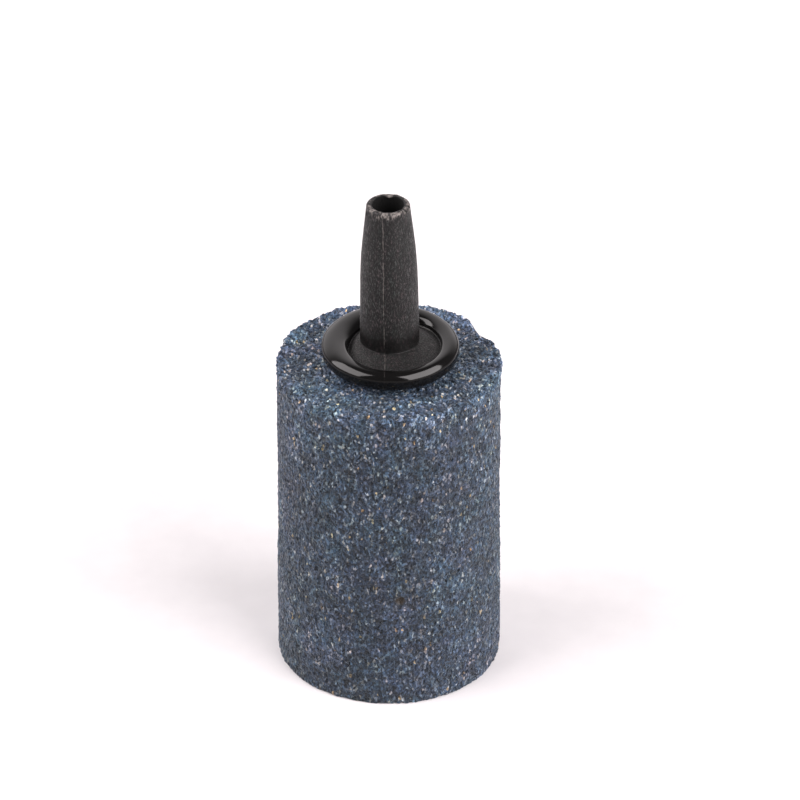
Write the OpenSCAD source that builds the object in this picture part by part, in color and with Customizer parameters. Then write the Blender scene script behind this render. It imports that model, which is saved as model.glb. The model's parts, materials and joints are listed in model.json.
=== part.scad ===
// Mineral air stone with a push-on hose nipple
//
// A block of bonded mineral grains has a blind bore from the top. A moulded nipple is
// glued into the bore. Air from the hose runs down the nipple into the chamber under it
// and leaves through the pores of the stone as fine bubbles.
//
// Millimetres, +Z up the common axis, origin at the centre of the stone's base.

/* [Stone] */
// Diameter of the stone at its base
stone_base_d = 20; // [18:0.1:26]
// Diameter of the stone at its top, smaller by the draft of its mould
stone_top_d = 19.6; // [17.6:0.1:25.6]
// Height of the stone
stone_h = 29.7; // [24:0.1:50]
// Chamfer where the grains of the top edge have crumbled away
top_edge = 0.4; // [0.1:0.1:1]
// Chamfer round the base
base_edge = 0.15; // [0.05:0.05:0.5]
// Diameter of the blind bore
bore_d = 6.4; // [6.2:0.1:8]
// Thickness of the stone under the bore
bore_floor = 7; // [4:0.5:12]

/* [Stem] */
// Diameter of the straight land at the foot of the stem, where the hose ends up
land_d = 5.1; // [4.6:0.1:5.4]
// Height above the stone at which the straight land ends and the taper begins
land_top = 5; // [4:0.1:9]
// Diameter of the stem at its tip, which starts the hose
tip_d = 3.8; // [3.6:0.1:4.2]
// Height of the tip above the stone
tip_top = 16; // [14:0.1:20]
// Chamfer round the tip
tip_edge = 0.12; // [0.05:0.01:0.2]
// Diameter of the air bore through the nipple
air_d = 2.8; // [2:0.1:3]

/* [Flange] */
// Outer diameter of the flange, over its rim
flange_d = 12.1; // [11.5:0.1:14]
// Width of the rounded bead that forms the rim
bead_w = 1.7; // [1.2:0.1:1.8]
// Height of the bead's crown above the stone
crown_h = 2.35; // [2.2:0.05:2.6]
// Height of the bead's underside above the stone
underside_h = 0.3; // [0.3:0.05:0.45]
// Height of the dish floor above the stone, just inside the rim
dish_h = 1.75; // [1.6:0.05:1.95]
// Rise of the dish floor from the rim to the foot of the stem
dish_rise = 0.6; // [0.2:0.1:0.8]
// Diameter of the flat seat under the flange, which the glue bonds to the stone
seat_d = 9.2; // [8.6:0.1:9.6]
// Fillet between the dish floor and the stem
root_r = 0.2; // [0.1:0.05:0.5]

/* [Spigot] */
// Diameter of the spigot inside the stone
spigot_d = 6; // [5.6:0.1:6]
// Length of the spigot below the top of the stone
spigot_l = 8; // [6:0.5:12]
// Number of glue grooves round the spigot
groove_count = 3; // [1:1:3]
// Width of each groove
groove_w = 0.8; // [0.4:0.1:1]
// Depth of each groove
groove_depth = 0.3; // [0.1:0.05:0.4]
// Lead-in chamfer at the spigot's end
lead_in = 0.4; // [0.1:0.1:0.6]

/* [Adhesive] */
// Thickness of the glue film between the seat and the stone
film = 0.15; // [0.05:0.05:0.3]
// Size of the bead of glue squeezed out round the seat
squeeze_out = 0.25; // [0.1:0.05:0.4]

/* [Hidden] */
$fn = 96;

base_r = stone_base_d / 2;
top_r = stone_top_d / 2;
bore_r = bore_d / 2;
land_r = land_d / 2;
tip_r = tip_d / 2;
air_r = air_d / 2;
bead_r = bead_w / 2;
seat_r = seat_d / 2;
spigot_r = spigot_d / 2;

// The bead stands upright: two arcs, one over the other, joined by a straight wall.
// Its middle is at rim_r, where the flange's web ends. Outside the seat, the web's
// underside is at web_h, a little higher than the bead's.
rim_r = flange_d / 2 - bead_r;
upper_h = crown_h - bead_r;
lower_h = underside_h + bead_r;
web_h = underside_h + bead_w / 8;

// The dish floor falls at a steady angle from the stem to the inner wall of the bead
dish_r = rim_r - bead_r;
root_h = dish_h + dish_rise;
dish_fall = atan(dish_rise / (dish_r - land_r));

// The taper is one arc, tangent to the land and through the edge of the tip
taper_h = tip_top - land_top;
taper_drop = land_r - tip_r;
taper_arc_r = (taper_h * taper_h + taper_drop * taper_drop) / (2 * taper_drop);

// Grooves are spread evenly over the straight part of the spigot
groove_pitch = (spigot_l - lead_in) / (groove_count + 1);

// Overlap that keeps a cut from ending on a face
cut = 1;

// Fillet in the corner between a wall, along Y, and a floor that falls away from it at an angle
module corner_fillet(r, fall) {
    middle_h = r * (1 - sin(fall)) / cos(fall);
    floor_x = r * (1 - sin(fall));
    difference() {
        polygon([[0, 0], [floor_x, -floor_x * tan(fall)], [r, middle_h], [0, middle_h]]);
        translate([r, middle_h]) circle(r);
    }
}

// Half section of the stem, with height 0 at the top of the stone
module stem_section() {
    square([land_r, land_top]);
    difference() {
        intersection() {
            translate([0, land_top]) square([land_r, taper_h]);
            translate([land_r - taper_arc_r, land_top]) circle(taper_arc_r, $fn = 720);
        }
        translate([tip_r, tip_top])
            polygon([[-tip_edge, 0], [-tip_edge, cut], [cut, cut], [cut, -tip_edge], [0, -tip_edge]]);
    }
    translate([land_r, root_h]) corner_fillet(root_r, dish_fall);
}

// Half section of the flange: a seat, a web with a sloping top, and an upright rounded bead
// along the web's edge
module flange_section() {
    polygon([
        [0, film],
        [seat_r, film],
        [seat_r, web_h],
        [rim_r, web_h],
        [rim_r, dish_h],
        [dish_r, dish_h],
        [land_r, root_h],
        [0, root_h]
    ]);
    translate([rim_r, upper_h]) circle(bead_r);
    translate([rim_r - bead_r, lower_h]) square([bead_w, upper_h - lower_h]);
    translate([rim_r, lower_h]) circle(bead_r);
}

// Half section of the grooved spigot, down from the top of the stone
module spigot_section() {
    difference() {
        union() {
            translate([0, lead_in - spigot_l]) square([spigot_r, spigot_l - lead_in + film]);
            translate([0, -spigot_l])
                polygon([[0, 0], [spigot_r - lead_in, 0], [spigot_r, lead_in], [0, lead_in]]);
        }
        for (i = [1 : groove_count])
            translate([spigot_r - groove_depth, -i * groove_pitch - groove_w / 2])
                square([groove_depth + cut, groove_w]);
    }
}

// Half section of the whole nipple before its air bore is cut
module nipple_section() {
    stem_section();
    flange_section();
    spigot_section();
}

// Porous block of bonded grains with a blind bore
module stone_body() {
    color([0.24, 0.28, 0.36])
    difference() {
        rotate_extrude()
            polygon([
                [0, 0],
                [base_r - base_edge, 0],
                [base_r, base_edge],
                [top_r, stone_h - top_edge],
                [top_r - top_edge, stone_h],
                [0, stone_h]
            ]);
        translate([0, 0, bore_floor]) cylinder(r = bore_r, h = stone_h - bore_floor + cut);
    }
}

// One moulding: hose stem, dished flange and the spigot that holds it in the stone
module hose_nipple() {
    color([0.08, 0.08, 0.085])
    translate([0, 0, stone_h])
    difference() {
        rotate_extrude() nipple_section();
        translate([0, 0, -spigot_l - cut]) cylinder(r = air_r, h = spigot_l + tip_top + 2 * cut);
    }
}

// Cured glue: a sleeve round the spigot, a film under the seat and the bead squeezed out of it
module adhesive() {
    color([0.03, 0.03, 0.035])
    translate([0, 0, stone_h])
    rotate_extrude()
    difference() {
        union() {
            translate([spigot_r - groove_depth - cut / 2, lead_in - spigot_l])
                square([bore_r - spigot_r + groove_depth + cut / 2, spigot_l - lead_in]);
            square([seat_r, film]);
            translate([seat_r, 0]) polygon([[0, 0], [squeeze_out, 0], [0, squeeze_out]]);
        }
        nipple_section();
    }
}

stone_body();
hose_nipple();
adhesive();
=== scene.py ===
"""The looks of a mineral air stone: a grained stone, a moulded hose nipple and the glue between."""

import json
import math

import bpy
import numpy as np
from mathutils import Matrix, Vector


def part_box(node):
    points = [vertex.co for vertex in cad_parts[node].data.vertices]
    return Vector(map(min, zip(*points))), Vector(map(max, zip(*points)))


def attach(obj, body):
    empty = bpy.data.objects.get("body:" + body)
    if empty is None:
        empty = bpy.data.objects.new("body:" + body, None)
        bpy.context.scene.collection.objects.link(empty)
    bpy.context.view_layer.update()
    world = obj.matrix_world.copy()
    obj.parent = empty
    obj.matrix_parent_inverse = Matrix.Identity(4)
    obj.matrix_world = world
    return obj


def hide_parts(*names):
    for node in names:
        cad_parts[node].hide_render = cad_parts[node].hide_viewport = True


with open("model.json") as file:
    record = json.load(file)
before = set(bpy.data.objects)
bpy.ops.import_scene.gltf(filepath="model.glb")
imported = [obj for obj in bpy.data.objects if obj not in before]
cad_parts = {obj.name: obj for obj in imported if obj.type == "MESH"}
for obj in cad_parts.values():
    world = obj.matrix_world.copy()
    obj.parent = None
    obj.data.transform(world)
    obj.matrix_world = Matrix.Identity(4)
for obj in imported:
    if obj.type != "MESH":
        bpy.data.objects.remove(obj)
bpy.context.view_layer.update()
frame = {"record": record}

MM = 0.001
TAU = 2 * math.pi
rng = np.random.default_rng(20)


def node_box(node):
    """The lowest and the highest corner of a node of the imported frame, in millimetres."""
    return [np.array(corner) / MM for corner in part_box(node)]


# Sizes of the object in millimetres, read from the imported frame
stone_high = node_box("stone_body")[1]
nipple_low, nipple_high = node_box("hose_nipple")
glue_low, glue_high = node_box("adhesive")
mounts = {m["name"]: m for m in frame["record"]["mounts"]}

STONE_R = stone_high[0]
STONE_H = stone_high[2]
TIP_Z = nipple_high[2]
SPIGOT_END = nipple_low[2]
FLANGE_R = nipple_high[0]
SPIGOT_L = STONE_H - SPIGOT_END
GLUE_END = glue_low[2]
GLUE_R = glue_high[0]
LAND_R = mounts["hose_stem"]["dims"]["r_mm"]
AIR_R = mounts["air_inlet"]["dims"]["r_mm"]

# Sizes of the hidden fit between stone, glue and nipple, which the frame's boxes and mounts don't give
BORE_R = 3.2
BORE_FLOOR = 7.0
SPIGOT_R = 3.0
LEAD_IN = 0.4
GROOVE_COUNT = 3
GROOVE_W = 0.8
GROOVE_DEPTH = 0.3
SEAT_R = 4.6
FILM = 0.15

# Azimuths run from +X towards +Y, and the front of the object is at -90 degrees. Heights called
# "above" are measured from the top of the stone.


# ---------------------------------------------------------------- shared tools


def smooth(edge0, edge1, x):
    """A smooth step from 0 at edge0 to 1 at edge1, which may be the lower of the two."""
    t = np.clip((np.asarray(x, float) - edge0) / (edge1 - edge0), 0, 1)
    return t * t * (3 - 2 * t)


def bump(x, centre, width):
    """A smooth hump of height 1 at centre, down to 0 at about two widths from it."""
    return np.exp(-(((np.asarray(x, float) - centre) / width) ** 2))


def angle_gap(a, b):
    """The signed angle from b to a, within half a turn."""
    return (np.asarray(a, float) - b + math.pi) % TAU - math.pi


def hump(theta, azimuth, width):
    """A hump round the axis, 1 at an azimuth in degrees. Its width is in radians."""
    return bump(angle_gap(theta, math.radians(azimuth)), 0, width)


def spread_knots(x, knots, values):
    """Takes each knot to its value and what lies between in proportion. A value may be an array."""
    total = 0
    for low, high, start, end in zip(knots[:-1], knots[1:], values[:-1], values[1:]):
        total = total + (end - start) * np.clip((x - low) / (high - low), 0, 1)
    return total


def around(r, theta, z):
    """Points from their radius, azimuth and height."""
    return np.stack([r * np.cos(theta), r * np.sin(theta), z], 1)


# Large odd numbers, by which hashed() scatters the cells: one each for x, y, z and the salt, and
# two to stir the sum
SCATTER = (374761393, 668265263, 2246822519, 3266489917)
STIR = (2654435761, 1274126177)


def hashed(ix, iy, iz, salt):
    """A number from 0 to 1 for each integer cell, the same on every run."""
    with np.errstate(over="ignore"):
        h = ix.astype(np.uint32) * np.uint32(SCATTER[0])
        h ^= iy.astype(np.uint32) * np.uint32(SCATTER[1])
        h ^= iz.astype(np.uint32) * np.uint32(SCATTER[2])
        h += np.uint32(salt) * np.uint32(SCATTER[3])
        h = (h ^ (h >> np.uint32(15))) * np.uint32(STIR[0])
        h = (h ^ (h >> np.uint32(13))) * np.uint32(STIR[1])
        h ^= h >> np.uint32(16)
    return h / 2.0**32


def value_noise(points, size, salt):
    """Smooth noise from -1 to 1 with features of about the given size."""
    q = points / size
    base = np.floor(q).astype(np.int64)
    f = q - base
    f = f * f * (3 - 2 * f)
    total = np.zeros(len(points))
    for dx in (0, 1):
        for dy in (0, 1):
            for dz in (0, 1):
                wx = f[:, 0] if dx else 1 - f[:, 0]
                wy = f[:, 1] if dy else 1 - f[:, 1]
                wz = f[:, 2] if dz else 1 - f[:, 2]
                corner = hashed(base[:, 0] + dx, base[:, 1] + dy, base[:, 2] + dz, salt)
                total += wx * wy * wz * corner
    return total * 2 - 1


def grain_cells(points, size, salt):
    """For each point, the distance to the nearest and to the second nearest grain centre, the
    nearest centre itself, and five random numbers of that grain's own."""
    q = points / size
    base = np.floor(q).astype(np.int64)
    beyond_all = 9.0
    first = np.full(len(points), beyond_all)
    second = np.full(len(points), beyond_all)
    centre = np.zeros_like(q)
    cell = np.zeros_like(base)
    for dx in (-1, 0, 1):
        for dy in (-1, 0, 1):
            for dz in (-1, 0, 1):
                c = base + (dx, dy, dz)
                jitter = [hashed(c[:, 0], c[:, 1], c[:, 2], salt + k) for k in range(3)]
                spot = c + np.stack(jitter, 1)
                gap = np.linalg.norm(q - spot, axis=1)
                nearer = gap < first
                second = np.where(nearer, first, np.minimum(second, gap))
                first = np.where(nearer, gap, first)
                centre[nearer] = spot[nearer]
                cell[nearer] = c[nearer]
    own = [hashed(cell[:, 0], cell[:, 1], cell[:, 2], salt + 10 + k) for k in range(5)]
    return first * size, second * size, centre * size, own


def mesh_object(name, points_mm, faces, smooth_faces=True):
    """A mesh object from points in millimetres and a list of faces."""
    mesh = bpy.data.meshes.new(name)
    mesh.from_pydata((np.asarray(points_mm) * MM).tolist(), [], faces)
    mesh.validate()
    mesh.polygons.foreach_set("use_smooth", [smooth_faces] * len(mesh.polygons))
    mesh.update()
    obj = bpy.data.objects.new(name, mesh)
    bpy.context.scene.collection.objects.link(obj)
    return obj


def point_attribute(obj, name, values):
    """Stores one number per vertex, for the material to read."""
    attribute = obj.data.attributes.new(name, "FLOAT", "POINT")
    attribute.data.foreach_set("value", np.asarray(values, np.float32))


def arc(centre, radius, start_deg, end_deg, count):
    """Points of an arc in the (r, z) half plane, both ends included."""
    angles = np.radians(np.linspace(start_deg, end_deg, count))
    return [(centre[0] + radius * math.cos(a), centre[1] + radius * math.sin(a)) for a in angles]


def resample(outline, pitch_at):
    """Points along a polyline in steps of pitch_at(r, z), with its corners kept."""
    out = [outline[0]]
    for a, b in zip(outline[:-1], outline[1:]):
        a, b = np.array(a, float), np.array(b, float)
        length = float(np.linalg.norm(b - a))
        steps = max(1, round(length / pitch_at(*((a + b) / 2))))
        out += [tuple(a + (b - a) * k / steps) for k in range(1, steps + 1)]
    return np.array(out)


def lathe(section, columns):
    """A closed section turned round the axis, with a column of points at each azimuth in columns:
    the radius, height and azimuth of each point, and the faces."""
    count, wide = len(section), len(columns)
    r = np.repeat(section[:, 0], wide)
    z = np.repeat(section[:, 1], wide)
    theta = np.tile(columns, count)
    faces = []
    for i in range(count):
        a, b = i * wide, ((i + 1) % count) * wide
        for j in range(wide):
            k = (j + 1) % wide
            faces.append((a + j, a + k, b + k, b + j))
    return r, z, theta, faces


class Nodes:
    """A short way to write the nodes of a material, or of the world."""

    def __init__(self, owner, coordinates="Object"):
        self.owner = owner
        owner.use_nodes = True
        self.tree = owner.node_tree
        self.tree.nodes.clear()
        self.place = self.add("ShaderNodeTexCoord").outputs[coordinates]

    def add(self, kind, **settings):
        node = self.tree.nodes.new(kind)
        for key, value in settings.items():
            setattr(node, key, value)
        return node

    def feed(self, socket, value):
        """Links an output to a socket, or sets the socket's own value."""
        if isinstance(value, bpy.types.NodeSocket):
            self.tree.links.new(value, socket)
        else:
            socket.default_value = value

    def vector_math(self, operation, a, b):
        """The outputs of an operation on two vectors."""
        node = self.add("ShaderNodeVectorMath", operation=operation)
        self.feed(node.inputs[0], a)
        self.feed(node.inputs[1], b)
        return node.outputs

    def height(self):
        """The Z of the coordinates."""
        node = self.add("ShaderNodeSeparateXYZ")
        self.feed(node.inputs[0], self.place)
        return node.outputs["Z"]

    def voronoi(self, size_mm, vector=None):
        """Cells of about size_mm, each with a random colour of its own."""
        node = self.add("ShaderNodeTexVoronoi", feature="F1")
        self.feed(node.inputs["Vector"], vector or self.place)
        node.inputs["Scale"].default_value = 1 / (size_mm * MM)
        return self.split(node.outputs["Color"])

    def noise(self, size_mm, detail=2.0, vector=None, roughness=0.5):
        """Noise from 0 to 1 with features of about size_mm."""
        node = self.add("ShaderNodeTexNoise")
        self.feed(node.inputs["Vector"], vector or self.place)
        node.inputs["Scale"].default_value = 1 / (size_mm * MM)
        node.inputs["Detail"].default_value = detail
        node.inputs["Roughness"].default_value = roughness
        return node.outputs[0]

    def attribute(self, name):
        return self.add("ShaderNodeAttribute", attribute_name=name).outputs["Fac"]

    def math(self, operation, a, b=0.0, c=0.0, clamp=False):
        node = self.add("ShaderNodeMath", operation=operation, use_clamp=clamp)
        for socket, value in zip(node.inputs, (a, b, c)):
            self.feed(socket, value)
        return node.outputs[0]

    def fit(self, value, low, high, to_low=0.0, to_high=1.0, interpolation="LINEAR"):
        """Maps low..high to to_low..to_high, and clamps."""
        node = self.add("ShaderNodeMapRange", interpolation_type=interpolation)
        for socket, number in zip(node.inputs, (value, low, high, to_low, to_high)):
            self.feed(socket, number)
        return node.outputs[0]

    def ramp(self, value, stops):
        """A colour ramp from a list of (position, (r, g, b))."""
        node = self.add("ShaderNodeValToRGB")
        elements = node.color_ramp.elements
        while len(elements) < len(stops):
            elements.new(0.5)
        for element, (position, colour) in zip(elements, stops):
            element.position = position
            element.color = (*colour, 1)
        self.feed(node.inputs["Fac"], value)
        return node.outputs["Color"]

    def grey_ramp(self, value, stops):
        """A ramp of greys from a list of (position, brightness)."""
        return self.ramp(value, [(position, (grey, grey, grey)) for position, grey in stops])

    def split(self, colour):
        node = self.add("ShaderNodeSeparateColor")
        self.feed(node.inputs[0], colour)
        return node.outputs

    def mix(self, factor, a, b, blend="MIX"):
        """Mixes two colours, or blends b over a."""
        node = self.add("ShaderNodeMix", data_type="RGBA", blend_type=blend)
        self.feed(node.inputs["Factor"], factor)

        # The node has an A, a B and a result for each data type. These are the colours' own
        for socket, value in ((node.inputs[6], a), (node.inputs[7], b)):
            self.feed(socket, (*value, 1) if isinstance(value, tuple) else value)
        return node.outputs[2]

    def times(self, colour, factor):
        """A colour times another, or times a number."""
        return self.mix(1.0, colour, factor, "MULTIPLY")

    def bump(self, height, depth_mm, normal=None):
        """A bump whose full height is depth_mm."""
        node = self.add("ShaderNodeBump")
        node.inputs["Strength"].default_value = 1.0
        node.inputs["Distance"].default_value = depth_mm * MM
        self.feed(node.inputs["Height"], height)
        if normal:
            self.feed(node.inputs["Normal"], normal)
        return node.outputs["Normal"]

    def surface(self, colour, roughness, normal=None, **constants):
        """The Principled shader. Further arguments are constants set on its own sockets."""
        shader = self.add("ShaderNodeBsdfPrincipled")
        self.feed(shader.inputs["Base Color"], colour)
        self.feed(shader.inputs["Roughness"], roughness)
        if normal:
            self.feed(shader.inputs["Normal"], normal)
        for key, value in constants.items():
            shader.inputs[key.replace("_", " ")].default_value = value
        out = self.add("ShaderNodeOutputMaterial")
        self.tree.links.new(shader.outputs[0], out.inputs["Surface"])


# ------------------------------------------------------------ camera and light


def add_camera():
    """A long lens half a metre away, 32 degrees above the horizontal."""
    target = Vector((0.99, 0, 25.7)) * MM
    distance = 500 * MM
    elevation = math.radians(32.2)
    data = bpy.data.cameras.new("camera")
    data.lens = 256
    data.sensor_width = 36
    data.clip_start = 0.01
    data.clip_end = 20
    camera = bpy.data.objects.new("camera", data)
    camera.location = target + distance * Vector((0, -math.cos(elevation), math.sin(elevation)))
    camera.rotation_euler = (target - camera.location).to_track_quat("-Z", "Y").to_euler()
    bpy.context.scene.collection.objects.link(camera)
    bpy.context.scene.camera = camera


def add_softbox(name, azimuth, elevation, distance, size, power, colour):
    """A rectangular softbox that looks at the middle of the object. Lengths are in metres and
    angles in degrees."""
    data = bpy.data.lights.new(name, "AREA")
    data.shape = "RECTANGLE"
    data.size, data.size_y = size
    data.energy = power
    data.color = colour
    light = bpy.data.objects.new(name, data)
    a, e = math.radians(azimuth), math.radians(elevation)
    away = Vector((math.cos(e) * math.cos(a), math.cos(e) * math.sin(a), math.sin(e)))
    middle = Vector((0, 0, STONE_H / 2)) * MM
    light.location = middle + away * distance
    light.rotation_euler = (-away).to_track_quat("-Z", "Y").to_euler()
    bpy.context.scene.collection.objects.link(light)


def add_world(colour, strength, glow, glow_from):
    """Dim even light from all round, with a wide soft glow behind the object, as from a lit paper
    sweep. The glow is weaker close to the horizon, and glow_from is the direction of its middle."""
    n = Nodes(bpy.data.worlds.new("studio"), "Generated")
    over_horizon = n.fit(n.height(), 0.0, 0.1, 0.66, 1.0)
    towards_glow = n.vector_math("DOT_PRODUCT", n.place, glow_from)["Value"]
    glowing = n.math("MULTIPLY", towards_glow, over_horizon)
    background = n.add("ShaderNodeBackground")
    n.feed(background.inputs["Color"], (*colour, 1))
    n.feed(background.inputs["Strength"], n.fit(glowing, 0.36, 0.86, strength, glow, "SMOOTHSTEP"))
    out = n.add("ShaderNodeOutputWorld")
    n.feed(out.inputs["Surface"], background.outputs[0])
    bpy.context.scene.world = n.owner


def add_floor():
    """A pale sweep that the stone stands on, with painted light on it: nearly white round the object,
    grey outside that, and lighter again far away. Lengths are in metres."""
    half = 1.5
    painted_light_centre = (0, 0.060, 0)
    painted_light_edge = (0.103, 0.140)
    far_from, far_to = 0.5, 1.4
    corners = [(-half, -half, 0), (half, -half, 0), (half, half, 0), (-half, half, 0)]
    floor = mesh_object("floor", np.array(corners) / MM, [(0, 1, 2, 3)])
    n = Nodes(bpy.data.materials.new("pale_floor"))
    distance = n.vector_math("DISTANCE", n.place, painted_light_centre)["Value"]
    # Painted light on the floor: nearly white round the object, grey beyond it, and lighter again far
    # away
    painted_light_patch = n.ramp(n.noise(3.0, 3), [(0.3, (0.772, 0.757, 0.767)), (0.7, (0.802, 0.787, 0.797))])
    outside = n.mix(n.fit(distance, far_from, far_to), (0.21, 0.205, 0.207), (0.62, 0.61, 0.615))
    tone = n.mix(n.fit(distance, *painted_light_edge), painted_light_patch, outside)
    n.surface(tone, roughness=0.9)
    floor.data.materials.append(n.owner)


# ------------------------------------------------------------------- materials


def stone_material():
    """Bonded mineral grain: slate grains, paler ones between them, and a few bright and yellowish
    crystals. The mesh's attribute relief says how high a place stands, and the colour follows it as
    painted shade in low places and painted light on high grains. A second attribute marks the pit,
    which is coloured dark brown: partly a brown stain, partly painted shade."""
    n = Nodes(bpy.data.materials.new("stone_grain"))
    climb = n.fit(n.height(), 0, STONE_H * MM)

    # The cells are longer upwards, and on the top face longer from front to back too
    on_top = n.math("GREATER_THAN", climb, 0.991)
    stretch = n.add("ShaderNodeCombineXYZ")
    n.feed(stretch.inputs["X"], 1.0)
    n.feed(stretch.inputs["Y"], n.math("SUBTRACT", 1.0, n.math("MULTIPLY", on_top, 0.4)))
    n.feed(stretch.inputs["Z"], 0.54)
    stretched = n.vector_math("MULTIPLY", n.place, stretch.outputs[0])[0]
    pick, tilt, tint = n.voronoi(0.18, stretched)[:3]
    fine_pick, fine_tilt = n.voronoi(0.095, stretched)[:2]

    slate = [
        (0.0, (0.008, 0.016, 0.028)),
        (0.35, (0.028, 0.048, 0.076)),
        (0.65, (0.052, 0.081, 0.121)),
        (0.86, (0.092, 0.130, 0.180)),
        (0.95, (0.205, 0.24, 0.265)),
        (1.0, (0.43, 0.43, 0.41)),
    ]
    yellowish = [(0.0, (0.34, 0.25, 0.13)), (0.5, (0.38, 0.33, 0.22)), (1.0, (0.46, 0.43, 0.33))]
    is_yellowish = n.math("GREATER_THAN", tint, 0.9945)
    body = n.mix(is_yellowish, n.ramp(pick, slate), n.ramp(tilt, yellowish))
    body = n.times(body, n.fit(fine_pick, 0.0, 1.0, 0.25, 1.7))
    # Painted shade and light: darker in low places between grains, where grains are missing and in the
    # pit, and lighter on high grains
    body = n.times(body, n.fit(n.attribute("relief"), -0.08, 0.05, 0.4, 1.1))

    # Slow changes of brightness and hue over the block. By height it is darker towards the base and
    # greyer towards the top edge, and painted light makes it lighter towards the top edge and most on
    # the top face
    cloud = n.fit(n.noise(4.5, 3), 0.35, 0.65, 0.86, 1.14)
    mottle = n.fit(n.noise(0.7, 2, vector=stretched), 0.3, 0.7, 0.82, 1.18)
    hue = n.ramp(n.noise(1.6, 2), [(0.35, (0.93, 1.03, 1.01)), (0.65, (1.05, 0.98, 1.02))])
    zones = n.ramp(n.noise(6.5, 2), [(0.38, (0.96, 1.015, 1.0)), (0.62, (1.04, 0.985, 1.025))])
    skin_stops = [(0.0, (0.65, 0.645, 0.68)), (0.8, (0.77, 0.77, 0.80)), (0.985, (0.99, 0.93, 0.93))]
    skin = n.ramp(climb, skin_stops)
    # Painted light from above: lighter towards the top edge, and most on the top face
    broken = n.grey_ramp(climb, [(0.86, 1.0), (0.97, 1.14), (0.995, 1.4)])
    grain_hues = [(0.0, (0.86, 1.0, 1.10)), (0.6, (0.96, 1.0, 1.04)), (1.0, (1.12, 1.04, 0.90))]
    grain_hue = n.ramp(tint, grain_hues)
    for factor in (cloud, mottle, hue, zones, skin, broken, grain_hue):
        body = n.times(body, factor)
    # The pit dark brown: partly a brown stain, and partly painted shade in the hollow
    body = n.mix(n.attribute("rust_and_pit_shade"), body, (0.020, 0.014, 0.009))

    roughness = n.fit(tilt, 0.0, 1.0, 0.35, 0.8)
    facets = n.bump(fine_tilt, 0.03)
    coarse = n.bump(pick, 0.045, facets)
    sheen = {"Sheen_Weight": 0.2, "Sheen_Roughness": 0.35, "Sheen_Tint": (0.76, 0.88, 1.0, 1.0)}
    n.surface(body, roughness, coarse, Specular_IOR_Level=0.36, **sheen)
    return n.owner


def nipple_material():
    """Black polypropylene: a matt, finely textured stem with faint drawn streaks, and a polished
    rim. The mesh's attributes gloss, wear and shade say where it is polished, where it is worn, and
    how bright it stays, from 1 in the open to almost 0 in the bore."""
    n = Nodes(bpy.data.materials.new("black_moulding"))
    gloss = n.attribute("gloss")
    wear = n.attribute("wear")
    shade = n.attribute("shade")
    drawn = n.vector_math("MULTIPLY", n.place, (1.0, 1.0, 0.38))[0]
    drawn_patches = n.vector_math("MULTIPLY", n.place, (1.0, 1.0, 0.4))[0]
    sand = n.noise(0.11, 3, vector=drawn, roughness=0.75)
    patches = n.noise(0.9, 2, vector=drawn_patches)
    dust = n.math("GREATER_THAN", n.noise(0.22, 2), 0.74)

    blacks = [(0.44, (0.001, 0.001, 0.001)), (0.53, (0.003, 0.003, 0.003)), (0.65, (0.046, 0.043, 0.043))]
    tinges = [(0.35, (0.85, 1.05, 1.0)), (0.65, (1.2, 0.95, 1.02))]
    scuffs = [(0.35, (0.06, 0.053, 0.05)), (0.65, (0.28, 0.25, 0.232))]
    base = n.times(n.ramp(sand, blacks), n.ramp(n.noise(0.3, 2, vector=drawn), tinges))
    base = n.times(base, n.fit(patches, 0.3, 0.7, 0.7, 1.3))
    matt = n.mix(n.math("MULTIPLY", dust, 0.3), base, (0.09, 0.08, 0.075))
    colour = n.mix(gloss, matt, (0.003, 0.0028, 0.0028))
    colour = n.mix(wear, colour, n.ramp(sand, scuffs))
    colour = n.times(colour, shade)

    # Worn places are no glossier than 0.6, and the inside of the bore has no gloss at all
    roughness = n.mix(gloss, n.grey_ramp(sand, [(0.35, 0.72), (0.7, 0.3)]), (0.1, 0.1, 0.1))
    roughness = n.math("MAXIMUM", roughness, n.math("MULTIPLY", wear, 0.6))
    roughness = n.math("MAXIMUM", roughness, n.fit(shade, 0.05, 0.4, 1.0, 0.0))
    matt_part = n.math("SUBTRACT", 1.0, gloss, clamp=True)
    height = n.math("MULTIPLY", sand, n.fit(matt_part, 0.0, 1.0, 0.02, 1.0))
    n.surface(colour, roughness, n.bump(height, 0.06), Specular_IOR_Level=0.37)
    return n.owner


def glue_material():
    """Black glue, cured with a wet-looking skin."""
    n = Nodes(bpy.data.materials.new("cured_glue"))
    skin = n.noise(0.6, 2)
    colour = n.ramp(skin, [(0.3, (0.006, 0.006, 0.007)), (0.7, (0.014, 0.014, 0.016))])
    roughness = n.fit(skin, 0.3, 0.7, 0.22, 0.34)
    n.surface(colour, roughness, n.bump(skin, 0.06), Specular_IOR_Level=0.5)
    return n.owner


# ----------------------------------------------------------------------- stone

# Size of a grain, and how far it may stand out of the mean surface
GRAIN = 0.27
RELIEF = 0.075

# Distance between points where the stone shows, under its base, under the flange, and in its bore
FINE_PITCH = 0.158
BASE_PITCH = 0.24
COVERED_PITCH = 0.4
BORE_PITCH = 0.9

# Raised places on the back of the top edge: azimuth in degrees, width in radians, rise
RAISED = [(55, 0.32, 0.22), (118, 0.26, 0.12), (150, 0.2, 0.18)]

# Chips in the top edge, a large one at the back right and smaller ones round it. Each is one
# sloping cut: its azimuth and half width in degrees, a point that it goes through, as distances in
# from the side and down from the top, then its slope in degrees and its roughness
CHIPS = [
    (31, 17, 0.7, 0.2, 40, 0.14),
    (16, 6, 0.45, 0.15, 35, 0.1),
    (205, 8, 0.5, 0.2, 42, 0.1),
    (285, 6, 0.45, 0.2, 40, 0.1),
]

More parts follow.
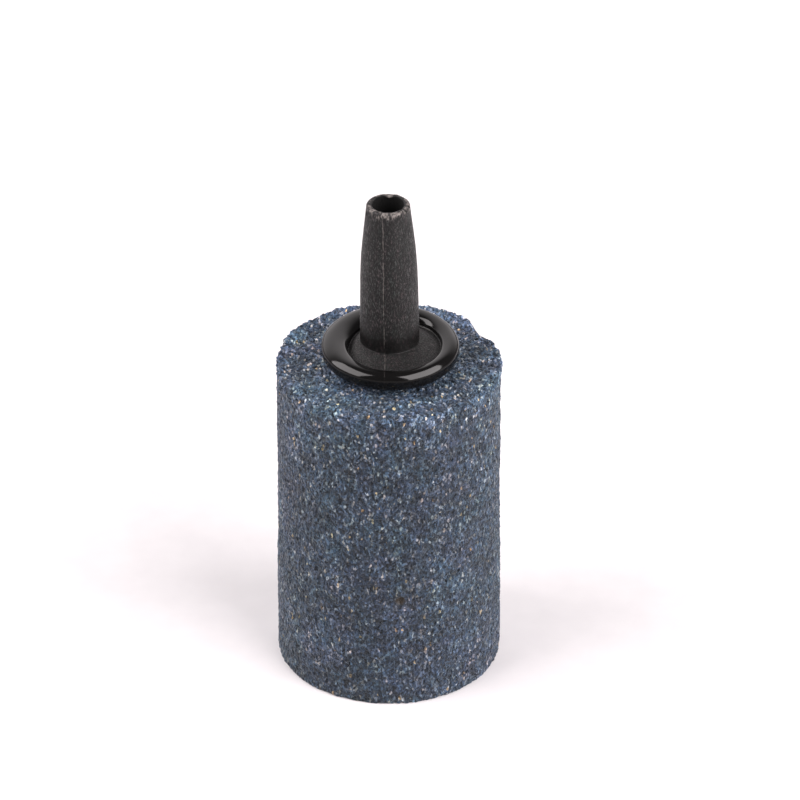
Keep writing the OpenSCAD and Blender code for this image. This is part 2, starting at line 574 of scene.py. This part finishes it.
# The pit left by one lost grain, low on the front
PIT_AZIMUTH = -84
PIT_Z = 11.0
PIT_DEPTH = 0.34
PIT_WIDTH = 0.36


def stone_radius(z):
    """Mean radius of the side: straight from the top, then a slight flare towards the base."""
    waist = STONE_R - 0.15
    return waist - RELIEF * 0.3 + 0.14 * (1 - smooth(5.0, 16.5, z))


def stone_outline():
    """The stone's half section from the floor of its bore, over the top and down to the base."""
    top = STONE_H - 0.06
    base = 0.03
    edge = 0.16
    foot = 0.14
    side = [(stone_radius(z), z) for z in np.linspace(top - edge, foot + base, 24)]
    r_top = side[0][0]
    r_foot = side[-1][0]
    return (
        [(0.0, BORE_FLOOR), (BORE_R, BORE_FLOOR), (BORE_R, top)]
        + arc((r_top - edge, top - edge), edge, 90, 0, 7)
        + side[1:-1]
        + arc((r_foot - foot, foot + base), foot, 0, -90, 4)
        + [(0.0, base)]
    )


def stone_pitch(r, z):
    """Fine where the stone shows, coarse in the bore, under the flange and under the base."""
    if z < STONE_H - 0.07 and r < BORE_R + 0.1 and z > BORE_FLOOR - 0.1:
        return BORE_PITCH
    if z > STONE_H - 0.1 and r < SEAT_R:
        return COVERED_PITCH
    if z < 0.05 and r < STONE_R - 0.5:
        return BASE_PITCH
    return FINE_PITCH


def build_rings(section, pitch_at, wobble):
    """Rings of points round the axis along a section, each turned by a random step. The points of
    fine rings are moved along them at random too, by up to half of wobble times the pitch."""
    rings = []
    for r, z in section:
        if r < 1e-6:
            rings.append((np.array([[0.0, 0.0, z]]), 0.0))
            continue
        pitch = pitch_at(r, z)
        count = max(6, round(TAU * r / pitch))
        phase = rng.random()
        loose = wobble if pitch <= FINE_PITCH else 0.0
        angles = TAU * (np.arange(count) + phase + loose * (rng.random(count) - 0.5)) / count
        rings.append((around(r, angles, np.full(count, z)), phase))
    return rings


def stitch(rings):
    """Triangles between each ring and the next, whatever their counts."""
    points = np.concatenate([ring for ring, _ in rings])
    starts = np.cumsum([0] + [len(ring) for ring, _ in rings])
    faces = []
    for k in range(len(rings) - 1):
        (upper, up_phase), (lower, low_phase) = rings[k], rings[k + 1]
        a0, b0, na, nb = int(starts[k]), int(starts[k + 1]), len(upper), len(lower)
        if na == 1:
            faces += [(a0, b0 + j, b0 + (j + 1) % nb) for j in range(nb)]
            continue
        if nb == 1:
            faces += [(a0 + (i + 1) % na, a0 + i, b0) for i in range(na)]
            continue
        i = j = 0
        while i < na or j < nb:
            next_a = (i + 1 + up_phase) / na
            next_b = (j + 1 + low_phase) / nb
            if j >= nb or (i < na and next_a <= next_b):
                faces.append((a0 + (i + 1) % na, a0 + i % na, b0 + j % nb))
                i += 1
            else:
                faces.append((a0 + i % na, b0 + j % nb, b0 + (j + 1) % nb))
                j += 1
    return points, faces


def outward_normals(points, section, ring_sizes):
    """Normals of the mean surface, from the section's own direction."""
    along = np.gradient(section, axis=0)
    across = np.stack([along[:, 1], -along[:, 0]], 1)
    across /= np.maximum(np.linalg.norm(across, axis=1, keepdims=True), 1e-9)
    ring_of = np.repeat(np.arange(len(ring_sizes)), ring_sizes)
    r = np.maximum(np.hypot(points[:, 0], points[:, 1]), 1e-9)
    nr = across[ring_of, 0]
    nz = across[ring_of, 1]
    normal = np.stack([points[:, 0] / r * nr, points[:, 1] / r * nr, nz], 1)
    inside_out = (normal * (points - (0, 0, STONE_H / 2))).sum(1) < 0
    return normal * np.where(inside_out, -1.0, 1.0)[:, None]


def grain_relief(points):
    """Height of the grained surface over the mean one: each grain has a height and a lean of its
    own, the joints between grains lie low, a few grains are missing, and finer grit covers all."""
    first, second, centre, own = grain_cells(points, GRAIN, 40)
    lean = (np.stack(own[1:4], 1) - 0.5) * 0.5
    height = (own[0] - 0.5) * 0.9 * RELIEF + ((points - centre) * lean).sum(1)
    joint = 1 - smooth(0.0, 0.09, second - first)
    height -= joint * 0.045
    missing = own[4] < 0.08
    height -= missing * 0.09
    fine_first, _, _, fine_own = grain_cells(points, GRAIN * 0.55, 90)
    height += (fine_own[0] - 0.5) * 0.045 - fine_first * 0.1
    return np.clip(height, -0.17, RELIEF)


def stone_height(points, normal):
    """Height of the whole surface over the mean one: the grains, slow waves, and near the top edge
    rougher grains, crumbled places and raised places."""
    r = np.maximum(np.hypot(points[:, 0], points[:, 1]), 1e-9)
    theta = np.arctan2(points[:, 1], points[:, 0])
    wide = 0.035 * value_noise(points, 2.6, 7) + 0.03 * value_noise(points, 0.9, 8)
    height = grain_relief(points) + wide
    near_top = smooth(STONE_H - 1.3, STONE_H - 0.2, points[:, 2])
    near_edge = near_top * smooth(STONE_R - 1.7, STONE_R - 0.5, r)
    crumble = smooth(0.15, 0.75, value_noise(points, 0.7, 21)) * 0.15 - 0.07
    height += near_edge * (0.7 * np.clip(height, -0.1, 0.1) - crumble)
    for azimuth, width, rise in RAISED:
        height += near_edge * rise * hump(theta, azimuth, width) * (normal[:, 2] > 0.7)
    return height


def cut_corner(points, azimuth, half_width, inset, drop, slope_deg, rough):
    """Moves the points beyond a sloping cut on the top edge back to the cut, as if grains had
    broken away there."""
    r = np.hypot(points[:, 0], points[:, 1])
    theta = np.arctan2(points[:, 1], points[:, 0])
    off = angle_gap(theta, math.radians(azimuth)) / math.radians(half_width)
    slope = math.radians(slope_deg)
    uneven = rough * value_noise(points, 0.55, 300 + azimuth)
    reach = STONE_R - inset + 1.6 * off**2 + uneven
    lift = points[:, 2] - (STONE_H - drop)
    beyond = (r - reach) * math.cos(slope) + lift * math.sin(slope)
    beyond = np.where(np.abs(off) < 1.6, np.clip(beyond, 0, None), 0)
    out = points.copy()
    shrink = (r - beyond * math.cos(slope)) / np.maximum(r, 1e-6)
    out[:, 0] *= shrink
    out[:, 1] *= shrink
    out[:, 2] -= beyond * math.sin(slope)
    return out


def keep_inside(points):
    """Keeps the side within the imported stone's radius, the base on the floor, and the top under the
    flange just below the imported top."""
    r = np.hypot(points[:, 0], points[:, 1])
    shrink = np.minimum(1, (STONE_R - 0.002) / np.maximum(r, 1e-9))
    points[:, 0] *= shrink
    points[:, 1] *= shrink
    points[:, 2] = np.clip(points[:, 2], 0.0, None)
    points[(points[:, 2] > STONE_H - 0.01) & (r < 5.6), 2] = STONE_H - 0.01


def build_stone():
    """The porous block, with its grains, broken top edge and pit, and its blind bore left plain."""
    section = resample(stone_outline(), stone_pitch)
    rings = build_rings(section, stone_pitch, 0.6)
    points, faces = stitch(rings)
    normal = outward_normals(points, section, [len(ring) for ring, _ in rings])
    height = stone_height(points, normal)
    in_bore = (np.hypot(points[:, 0], points[:, 1]) < BORE_R + 0.1) & (points[:, 2] > BORE_FLOOR - 0.5)
    points = points + normal * (height * ~in_bore)[:, None]
    for chip in CHIPS:
        points = cut_corner(points, *chip)

    azimuth = math.radians(PIT_AZIMUTH)
    pit_r = STONE_R - 0.2
    pit = np.array([math.cos(azimuth) * pit_r, math.sin(azimuth) * pit_r, PIT_Z])
    depth = PIT_DEPTH * bump(np.linalg.norm(points - pit, axis=1), 0, PIT_WIDTH)
    points -= normal * depth[:, None]
    keep_inside(points)

    stone = mesh_object("stone", points, faces, smooth_faces=False)
    # From these heights the material paints shade into low places and the pit, and light onto high grains
    point_attribute(stone, "relief", height - 1.2 * depth)
    # Where the pit is dark brown: a brown stain, and painted shade in the hollow as well
    point_attribute(stone, "rust_and_pit_shade", smooth(0.04, 0.14, depth))
    stone.data.materials.append(stone_material())
    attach(stone, "root")
    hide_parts("stone_body")


# ---------------------------------------------------------------------- nipple

# The bead that forms the rim: its radius, and how far the middles of its two arcs lie above
BEAD_R = 0.85
CROWN_MIDDLE = 1.5
UNDERSIDE_MIDDLE = 1.27
RIM_R = FLANGE_R - BEAD_R

# The dish floor above the stone at the rim, and its rise to the foot of the stem
DISH_H = 1.75
DISH_RISE = 0.6

# The stem above the stone: where the taper starts, and the radius and rounding of the tip
TAPER_FROM = 5.0
TIP_R = 1.86
TIP_EDGE = 0.26

# How far the nipple is off the stone's axis, and the parting plane left of the nipple's own
OFF_CENTRE = 0.1
PARTING_X = 0.48

# How far in from the flange's edge the plain section has the bead's crest, the start of its inner
# wall, the edge of the dish floor, and the place from which the floor keeps its shape
PLAIN_CREST = 0.65
PLAIN_WALL = 0.95
PLAIN_FLOOR = 1.2
PLAIN_KEPT = 3.2


def spigot_outline():
    """From the lower end of the air bore, round the spigot's end and up over its glue grooves."""
    pitch = (SPIGOT_L - LEAD_IN) / (GROOVE_COUNT + 1)
    groove_r = SPIGOT_R - GROOVE_DEPTH
    outline = [(AIR_R, SPIGOT_END), (SPIGOT_R - LEAD_IN, SPIGOT_END), (SPIGOT_R, SPIGOT_END + LEAD_IN)]
    for i in range(GROOVE_COUNT, 0, -1):
        low = STONE_H - i * pitch - GROOVE_W / 2
        high = low + GROOVE_W
        outline += [(SPIGOT_R, low), (groove_r, low), (groove_r, high), (SPIGOT_R, high)]
    return outline


def rim_outline():
    """Out along the seat, round the bead, and by a tighter lip and a small fillet into the dish."""
    lip_r = 0.5
    lip_from = 55
    fillet_r = 0.05
    crown_z = STONE_H + CROWN_MIDDLE
    fillet_z = STONE_H + DISH_H + fillet_r
    outline = [(SPIGOT_R, STONE_H + FILM), (SEAT_R, STONE_H + FILM), (SEAT_R, STONE_H + 0.3)]
    outline += arc((RIM_R, STONE_H + UNDERSIDE_MIDDLE), BEAD_R, -90, 0, 14)
    outline += arc((RIM_R, crown_z), BEAD_R, 0, lip_from, 14)
    lip = math.radians(lip_from)
    lip_at = (
        RIM_R + (BEAD_R - lip_r) * math.cos(lip),
        crown_z + (BEAD_R - lip_r) * math.sin(lip),
    )
    drop = fillet_z - lip_at[1]
    run = math.sqrt((lip_r + fillet_r) ** 2 - drop**2)
    inner = math.degrees(math.atan2(drop, -run))
    outline += arc(lip_at, lip_r, lip_from, inner, 16)[1:]
    outline += arc((lip_at[0] - run, fillet_z), fillet_r, inner - 180, -90, 8)[1:]
    return outline


def stem_outline():
    """From the dish floor up the stem, over the rounded tip and a short way down the air bore."""
    root_r = 0.05
    mouth_r = 0.1
    steps = 24
    tip = TIP_Z - 0.06
    taper_from = STONE_H + TAPER_FROM
    drop = LAND_R - TIP_R
    rise = tip - taper_from
    taper_r = (rise**2 + drop**2) / (2 * drop)
    root_z = STONE_H + DISH_H + DISH_RISE
    slope = math.degrees(math.atan(DISH_RISE / (RIM_R - BEAD_R - LAND_R)))

    # The root's fillet meets the sloping floor, so its middle is less than its radius above it
    outline = arc((LAND_R + root_r, root_z + root_r * 0.72), root_r, -90 - slope, -180, 7)
    outline += [(LAND_R, STONE_H + DISH_H + 1.4), (LAND_R, taper_from)]
    for k in range(1, steps + 1):
        z = taper_from + (rise - TIP_EDGE) * k / steps
        outline.append((LAND_R - taper_r + math.sqrt(taper_r**2 - (z - taper_from) ** 2), z))
    edge_r = outline[-1][0]
    outline += arc((edge_r - 0.24, tip - TIP_EDGE), TIP_EDGE, 15, 90, 6)
    outline += arc((AIR_R + mouth_r, tip - mouth_r), mouth_r, 90, 180, 4)
    outline += [(AIR_R, tip - 0.7), (AIR_R, tip - 1.6)]
    return outline


def parting_lines(r):
    """Azimuths at radius r of the front and the back parting line. Both lie in one plane, a little
    left of the axis."""
    swing = np.arcsin(PARTING_X / np.maximum(r, LAND_R - 0.8))
    return -math.pi / 2 - swing, math.pi / 2 + swing


def nipple_columns():
    """Azimuths of the columns of points, closer together across the parting lines."""
    columns = np.linspace(-math.pi, math.pi, 257)[:-1]
    close = []
    for line in parting_lines(LAND_R):
        close += [angle_gap(line + math.radians(d), 0.0) for d in np.linspace(-2.4, 2.4, 17)]
        columns = columns[np.abs(angle_gap(columns, line)) > math.radians(2.6)]
    return np.sort(np.concatenate([columns, np.array(close).ravel()]))


def shape_dish(r, z, theta):
    """Moves the dish off centre. The rim is broad at the left, the dish's wall slopes gently at the
    back, and beside it the floor dips in a shallow moat at the back right and at the left."""
    above = z - STONE_H
    inward = FLANGE_R - r
    back_right = hump(theta, 52, 0.6)
    back_left = hump(theta, 140, 0.5)
    left = hump(theta, 192, 0.6)

    # How far in the crest, the wall and the floor begin: a mean, then how much more that is to the
    # right, to the back, and at both sides compared with the front and the back
    swell = np.stack([np.ones(len(r)), np.cos(theta), np.sin(theta), np.cos(2 * theta)], 1)
    crest = swell @ (0.89, -0.15, 0.115, 0.155)
    wall = swell @ (1.63, -0.325, 0.46, 0.19)
    wall = wall - 0.35 * back_right - 0.38 * back_left - 0.08 * left
    floor = swell @ (1.98, -0.415, 0.675, 0.155) - 0.27 * back_right - 0.08 * left
    plain = (0, PLAIN_CREST, PLAIN_WALL, PLAIN_FLOOR, PLAIN_KEPT)
    moved = spread_knots(inward, plain, (0, crest, wall, floor, PLAIN_KEPT))
    in_dish = (above > CROWN_MIDDLE - 0.01) & (above < 2.6) & (r > FLANGE_R - PLAIN_KEPT)
    down_wall = np.clip((inward - PLAIN_WALL) / (PLAIN_FLOOR - PLAIN_WALL), 0, 1)
    moat = (0.35 * back_right + 0.3 * left) * down_wall**2
    moat = moat * (1 - smooth(PLAIN_FLOOR, 2.9, inward))
    return np.where(in_dish, FLANGE_R - moved, r), z - moat * in_dish


def parting_ridge(r, z, theta):
    """A fine ridge along each parting line, from 0 to about 1, that wanders a little."""
    ridge = np.zeros(len(r))
    for line in parting_lines(r):
        across = angle_gap(theta, line) * np.maximum(r, 0.5)
        path = np.stack([z, r, z * 0], 1)
        wander = 0.035 * value_noise(path, 1.1, 64) + 0.02 * value_noise(path, 0.35, 68)
        ridge += bump(across, wander, 0.03)
    return ridge


def trim_tip(r, z, theta):
    """The tip as the knife left it: uneven, with a nib of flash on its far side and a small burr at
    its left. Returns the nib's own height as well."""
    at_tip = smooth(TIP_Z - 0.35, TIP_Z - 0.1, z)
    spot = around(r, theta, z)
    z = z + at_tip * 0.035 * value_noise(spot, 0.35, 66)
    r = r + at_tip * 0.03 * value_noise(spot, 0.4, 67)
    nib = at_tip * hump(theta, 85, 0.16) * (r < AIR_R + 0.25)
    r = r - nib * 0.32
    burr = hump(theta, 197, 0.045) * bump(z, TIP_Z - 0.72, 0.1) * (r > AIR_R + 0.3)
    r = r + burr * 0.16
    z = np.minimum(z + nib * 0.08, TIP_Z)
    return r, z, nib


def mark_nipple(nipple, points, theta, plain_r, above, ridge, nib):
    """Sets where the moulding is polished, worn, and lit less. The radius and the height above the
    stone are those of the plain section."""
    z = points[:, 2]
    outer_wall = (plain_r > AIR_R + 0.25) & (above > 0.9)
    on_top = above > 1.5

    # Polished: the bead, and half as much the foot of the stem, whose darker colour there is painted
    # shade
    over_root = above - DISH_H - DISH_RISE
    on_stem = smooth(LAND_R + 0.05, LAND_R + 0.01, plain_r) * on_top
    at_root = smooth(2.9, 0.4, over_root) * on_stem * outer_wall
    gloss = smooth(4.85, 4.91, plain_r) * (above > 0.2) * (above < 3)
    gloss = np.maximum(gloss, 0.45 * at_root)

    # Lit less: the air bore, from higher up on its far side, but not the nib, and the stem's foot
    far_side = smooth(0.2, 0.8, np.sin(theta))
    in_bore = smooth(0.02, 0.22, TIP_Z - z + 0.1 * far_side)
    in_bore *= plain_r < AIR_R + 0.05 + 0.08 * far_side
    in_bore *= 1 - smooth(0, 0.3, nib)
    shade = (1 - 0.97 * in_bore) * (1 - 0.3 * at_root)

    # Worn: patches round the tip, most at its front, the parting ridge in places, and the nib
    speckle = value_noise(points * (1, 1, 0.6), 0.12, 70) * 0.55 + value_noise(points, 0.34, 71) * 0.45
    front = 0.5 - 0.5 * np.sin(theta)
    tip_band = smooth(TIP_Z - 1.2, TIP_Z - 0.1, z) * outer_wall
    scuff = speckle + 1.05 * tip_band - 1.0 + 0.15 * front * (plain_r < AIR_R + 0.35)
    wear = np.clip(smooth(0.0, 0.3, scuff) * tip_band, 0, 1)
    inside_rim = plain_r < 5
    ridge_wear = (0.12 + 0.5 * inside_rim) * ridge * on_top * smooth(-0.5, 0.2, speckle)
    wear = np.maximum(np.maximum(wear, ridge_wear), nib)

    point_attribute(nipple, "gloss", gloss)
    point_attribute(nipple, "wear", wear)
    point_attribute(nipple, "shade", shade)


def build_nipple():
    """The moulding: its plain section turned round the axis, then shaped as the real one is."""
    outline = spigot_outline() + rim_outline() + stem_outline()
    section = resample(outline, lambda r, z: 0.13 if z > STONE_H else 0.5)
    plain_r, plain_z, theta, faces = lathe(section, nipple_columns())
    for line, foot_line in zip(parting_lines(plain_r), parting_lines(LAND_R)):
        theta = theta + bump(angle_gap(theta, foot_line), 0, 0.35) * (line - foot_line)

    above = plain_z - STONE_H
    in_flange = (above > 0.1) & (above < 2.6) & (plain_r > LAND_R + 0.25)
    on_rim = (above > 0.3) & (above < 2.6) & (plain_r > RIM_R - 1.2)
    outer_wall = (plain_r > AIR_R + 0.25) & (above > 0.9)
    r, z = shape_dish(plain_r, plain_z, theta)

    # The stem flares a little at its foot and is a little fuller half way up
    flare = 0.045 * (1 - smooth(2.0, 7.0, above)) * smooth(LAND_R + 1.4, LAND_R + 0.1, plain_r)
    r = r + flare * (above > 1.5) * (r > AIR_R + 0.2)
    r = r + 0.05 * bump(above, 10.5, 2.6) * (r > AIR_R + 0.25)

    # The flange sits a little high, and tilts so that it is low at the front
    tilt = math.tan(math.radians(1.4))
    ahead = r * np.cos(theta - math.radians(-75))
    z = z - in_flange * smooth(LAND_R + 0.2, 4.2, r) * (tilt * ahead - 0.1)

    # Slight waviness of the moulding
    spot = around(r, theta, z)
    r = r + on_rim * 0.018 * value_noise(spot, 1.4, 61)
    r = r + outer_wall * 0.008 * value_noise(spot, 0.8, 62)
    z = z + on_rim * 0.02 * value_noise(spot, 1.8, 63)

    # The parting ridge runs down the stem, over the dish floor and faintly over the rim
    ridge = parting_ridge(r, z, theta) * outer_wall * (0.75 + 0.25 * value_noise(spot, 0.5, 65))
    on_floor = (r > LAND_R + 0.4) & (r < RIM_R - 0.4)
    on_crown = r > RIM_R - 0.6
    outward = np.where(on_floor, 0, np.where(on_crown, 0.01, 0.032))
    upward = np.where(on_crown, 0.01, 0.025) * (r + ridge * outward > LAND_R + 0.2) * (above < 3)
    r = r + ridge * outward
    z = z + ridge * upward

    r, z, nib = trim_tip(r, z, theta)

    # The stem leans a very little to the left, and the whole nipple is off centre to the right
    lean = np.clip(above - 2, 0, None) * math.tan(math.radians(0.55)) * (r < 4)
    shift = OFF_CENTRE * smooth(-0.6, 0.1, z - STONE_H) + 0.04 * in_flange
    points = around(r, theta, z)
    points[:, 0] += shift - lean

    nipple = mesh_object("nipple", points, faces)
    mark_nipple(nipple, points, theta, plain_r, above, ridge, nib)
    nipple.data.materials.append(nipple_material())
    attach(nipple, "root")
    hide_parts("hose_nipple")


# ------------------------------------------------------------------------ glue


def build_glue():
    """A thin sleeve and film of glue, with an uneven bead squeezed out round the flange."""
    top = STONE_H
    columns = 240
    inner = SPIGOT_R - 0.02
    seat = SEAT_R - 0.02
    outline = [(inner, GLUE_END), (BORE_R, GLUE_END), (BORE_R, top), (GLUE_R - 0.06, top)]
    outline += arc((GLUE_R - 0.13, top + 0.08), 0.11, -20, 110, 6)
    outline += [(seat, top + 0.27), (seat, top + FILM), (inner, top + FILM)]
    section = resample(outline, lambda r, z: 0.08 if r > 4.4 else 0.5)
    r, z, theta, faces = lathe(section, np.arange(columns) * TAU / columns)
    uneven = smooth(4.62, 4.75, r) * 0.08 * value_noise(around(r, theta, z), 0.8, 81)
    points = around(np.minimum(r + uneven, GLUE_R), theta, z)
    points[:, 0] += OFF_CENTRE * smooth(-0.6, 0.1, z - top)

    glue = mesh_object("glue", points, faces)
    glue.data.materials.append(glue_material())
    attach(glue, "root")
    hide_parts("adhesive")


# ------------------------------------------------------------------- the scene

WARM_WHITE = (1.0, 0.95, 0.955)

add_camera()
add_world(colour=(1.0, 0.95, 0.96), strength=0.155, glow=1.35, glow_from=(-0.17, 0.985, 0))
add_softbox("left_softbox", 193, 33, distance=0.5, size=(0.53, 0.44), power=3.9, colour=WARM_WHITE)
add_softbox("right_softbox", -32, 27, distance=0.5, size=(0.58, 0.50), power=5.75, colour=WARM_WHITE)
bpy.context.scene.view_settings.view_transform = "Standard"

add_floor()
build_stone()
build_nipple()
build_glue()
